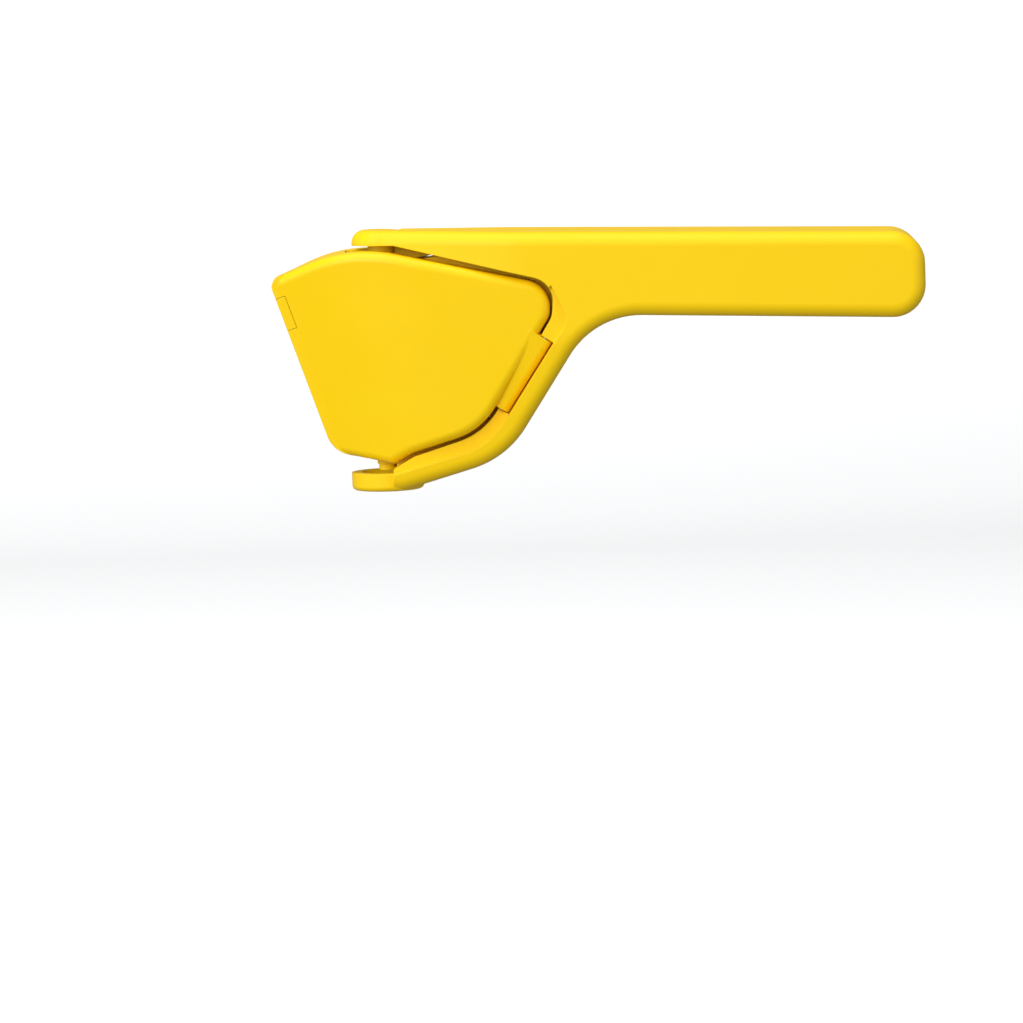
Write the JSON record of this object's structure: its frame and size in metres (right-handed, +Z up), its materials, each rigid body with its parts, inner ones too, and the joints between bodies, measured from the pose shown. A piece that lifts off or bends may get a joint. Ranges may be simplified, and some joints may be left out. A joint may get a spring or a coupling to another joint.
{
  "type": "citrus press juicer",
  "caption": "Fold-flat hand citrus press: squeezing the two handles folds a pair of plates over slotted strainers and drains juice through the spout ring.",
  "frame": {"origin": "centre of the spout outlet's lower rim, on the main pivot line", "axes": "+Z up along the main pivot line, +X from the spout towards the grip ends, -Y the front handle's side"},
  "size_m": [0.2201, 0.036, 0.0881],
  "materials": {
    "yellow_nylon": "satin moulded nylon",
    "yellow_nylon_plate": "satin moulded nylon",
    "yellow_nylon_strainer": "satin moulded nylon, wet side",
    "stainless_pin": "ground stainless steel"
  },
  "bodies": {
    "front_handle": {"front_handle": "yellow_nylon", "front_strainer": "yellow_nylon_strainer", "main_pivot_pin": "stainless_pin", "front_plate_pin": "stainless_pin"},
    "rear_handle": {"rear_handle": "yellow_nylon", "rear_strainer": "yellow_nylon_strainer", "rear_plate_pin": "stainless_pin"},
    "front_press_plate": {"front_press_plate": "yellow_nylon_plate", "nose_pin": "stainless_pin", "nose_pin_clip": "yellow_nylon_plate"},
    "rear_press_plate": {"rear_press_plate": "yellow_nylon_plate"}
  },
  "joints": [
    {"name": "handles_open", "type": "hinge", "parent": "front_handle", "child": "rear_handle", "pos_m": [0, 0, 0.04], "axis": [0, 0, 1], "range_deg": [0, 90]},
    {"name": "front_plate_swing", "type": "hinge", "parent": "front_handle", "child": "front_press_plate", "pos_m": [0.047, -0.012, 0.0388], "axis": [0.5424, -0.1385, 0.8286], "range_deg": [0, 23.59]},
    {"name": "rear_plate_swing", "type": "hinge", "parent": "rear_handle", "child": "rear_press_plate", "pos_m": [0.047, 0.012, 0.0388], "axis": [-0.5424, -0.1385, -0.8286], "range_deg": [0, 23.59]}
  ],
  "couplings": [
    {"joint": "front_plate_swing", "follows": "handles_open", "ratio": 0.2615},
    {"joint": "rear_plate_swing", "follows": "handles_open", "ratio": 0.2615}
  ]
}
